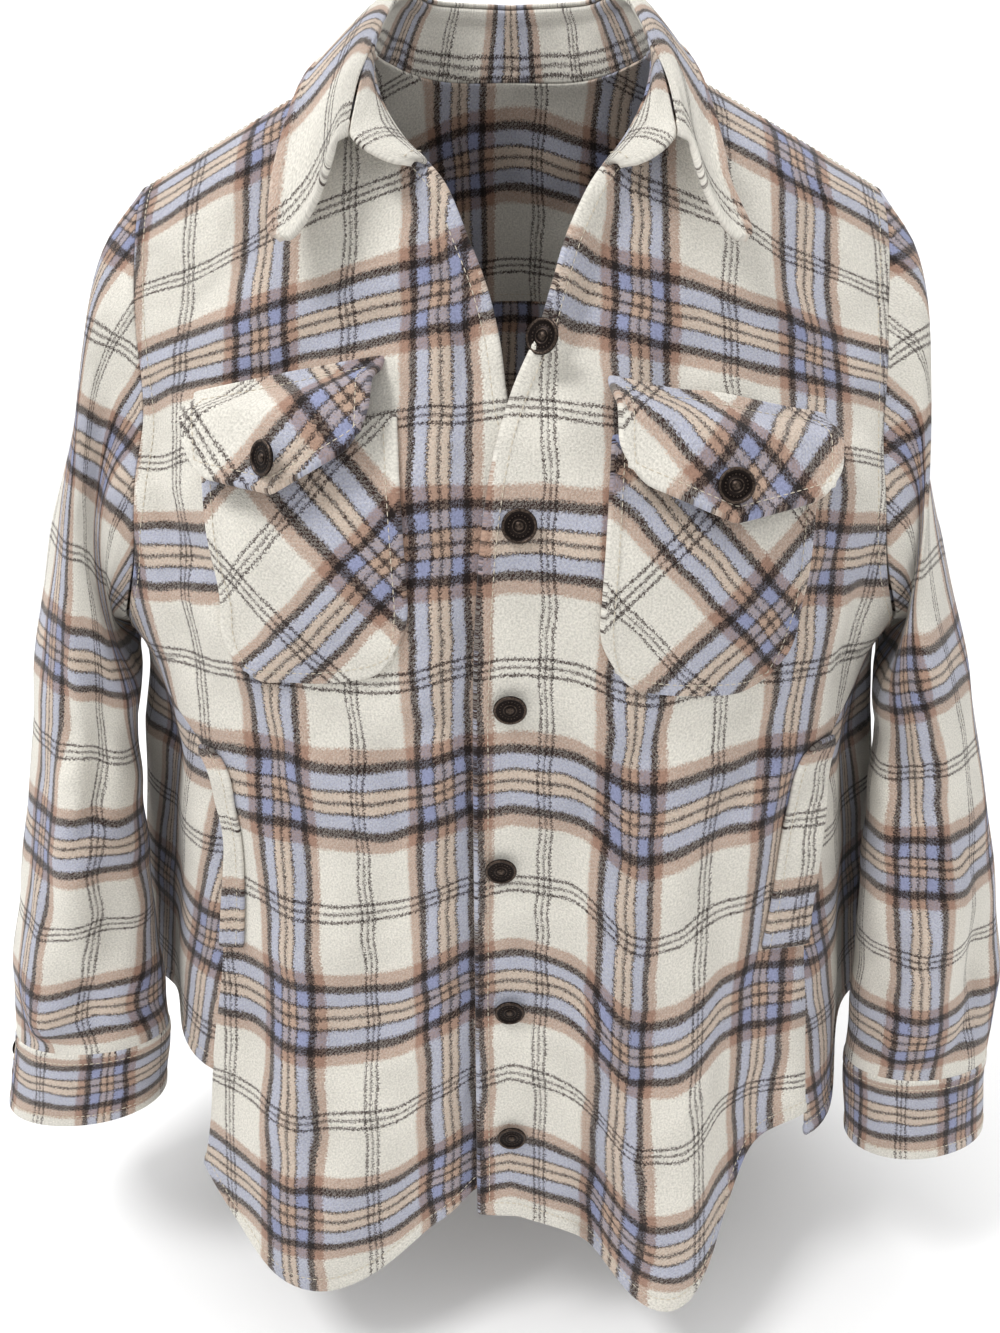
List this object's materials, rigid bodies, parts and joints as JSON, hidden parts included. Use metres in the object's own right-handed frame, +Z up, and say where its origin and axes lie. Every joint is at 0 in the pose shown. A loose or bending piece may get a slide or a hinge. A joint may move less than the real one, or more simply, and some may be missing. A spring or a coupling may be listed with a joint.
{
  "type": "shacket",
  "caption": "Plaid overshirt in its hollow worn shape, with a folded collar, buttoned front, flap pockets, set-in sleeves, cuffs and a shirt-tail hem.",
  "frame": {"origin": "middle of the neck opening, between the inner ends of the shoulders, where the wearer holds it", "axes": "+Z up, +X to the wearer's left, and the front faces -Y"},
  "size_m": [0.674, 0.3277, 0.7523],
  "materials": {
    "main_cloth": "brushed ivory plaid",
    "pocket_cloth": "brushed plaid, tan",
    "trim_cloth": "brushed plaid, blue",
    "button": "dark antique bronze"
  },
  "bodies": {
    "root": {"front_left": "main_cloth", "front_right": "main_cloth", "back": "main_cloth", "sleeve_left": "main_cloth", "sleeve_right": "main_cloth", "collar_leaf": "main_cloth", "chest_pocket_left": "pocket_cloth", "chest_pocket_right": "pocket_cloth", "cuff_left": "pocket_cloth", "cuff_right": "pocket_cloth", "collar_stand": "pocket_cloth", "yoke": "trim_cloth", "pocket_flap_left": "trim_cloth", "pocket_flap_right": "trim_cloth", "side_welt_left": "trim_cloth", "side_welt_right": "trim_cloth", "front_button_1": "button", "front_button_2": "button", "front_button_3": "button", "front_button_4": "button", "front_button_5": "button", "front_button_6": "button", "flap_button_left": "button", "flap_button_right": "button", "cuff_button_left": "button", "cuff_button_right": "button"}
  },
  "joints": []
}
